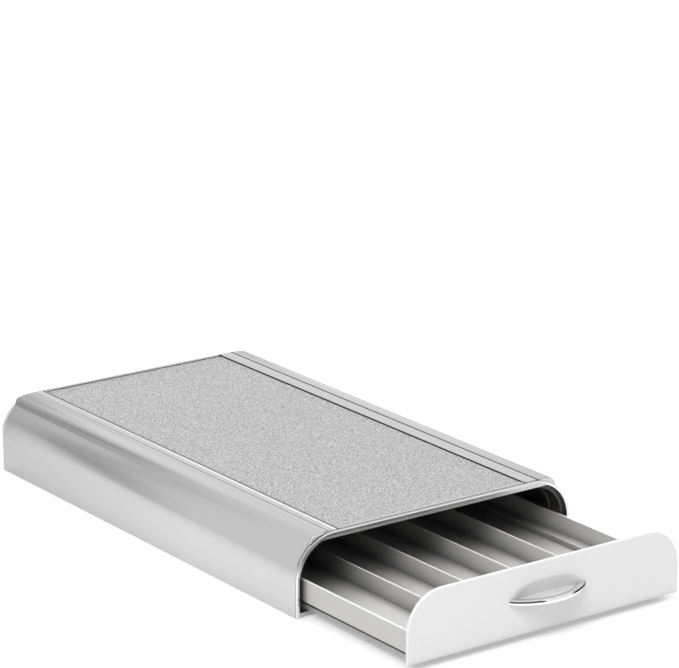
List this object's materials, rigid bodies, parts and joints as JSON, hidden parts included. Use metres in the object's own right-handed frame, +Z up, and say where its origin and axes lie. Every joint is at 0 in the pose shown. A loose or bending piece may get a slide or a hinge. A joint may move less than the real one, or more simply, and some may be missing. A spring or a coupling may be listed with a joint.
{
  "type": "coffee pod drawer",
  "caption": "Low arched casing that a coffee machine stands on, with one shallow drawer of open capsule lanes that slides out at the front by a half-moon pull.",
  "frame": {"origin": "middle of the footprint on the floor, with the drawer 115 mm open", "axes": "-Y is the front, towards which the drawer opens; +Y the rear; +X the right seen from the front; +Z up"},
  "size_m": [0.2286, 0.5038, 0.0548],
  "materials": {
    "cover_silver": "satin silver paint",
    "panel_silver": "satin silver paint",
    "bezel_bright": "bright silver plate",
    "inlay_grained": "fine grained silver",
    "frame_charcoal": "matte charcoal",
    "tray_grey": "light warm grey, fine texture",
    "front_white": "satin silver white",
    "pull_chrome": "mirror chrome plate",
    "foot_rubber": "matte black",
    "screw_steel": "zinc plated"
  },
  "bodies": {
    "casing": {"left_side_cover": "cover_silver", "right_side_cover": "cover_silver", "top_panel": "panel_silver", "top_inlay": "inlay_grained", "front_bezel": "bezel_bright", "rear_bezel": "bezel_bright", "front_arch": "frame_charcoal", "rear_panel": "frame_charcoal", "left_side_frame": "frame_charcoal", "right_side_frame": "frame_charcoal", "left_runner": "cover_silver", "right_runner": "cover_silver", "front_left_foot": "foot_rubber", "front_right_foot": "foot_rubber", "rear_left_foot": "foot_rubber", "rear_right_foot": "foot_rubber", "seam_screws": "screw_steel", "runner_screws": "screw_steel", "rear_screws": "screw_steel", "closing_bumpers": "foot_rubber"},
    "drawer": {"drawer_tray": "tray_grey", "drawer_front": "front_white", "drawer_pull": "pull_chrome", "left_glide": "tray_grey", "right_glide": "tray_grey", "left_catch": "frame_charcoal", "right_catch": "frame_charcoal", "divider_1": "tray_grey", "divider_2": "tray_grey", "divider_3": "tray_grey", "divider_4": "tray_grey", "front_screws": "screw_steel", "pull_screws": "screw_steel"}
  },
  "joints": [
    {"name": "drawer_slide", "type": "slide", "parent": "casing", "child": "drawer", "axis": [0, -1, 0], "range_m": [-0.115, 0.155]}
  ]
}
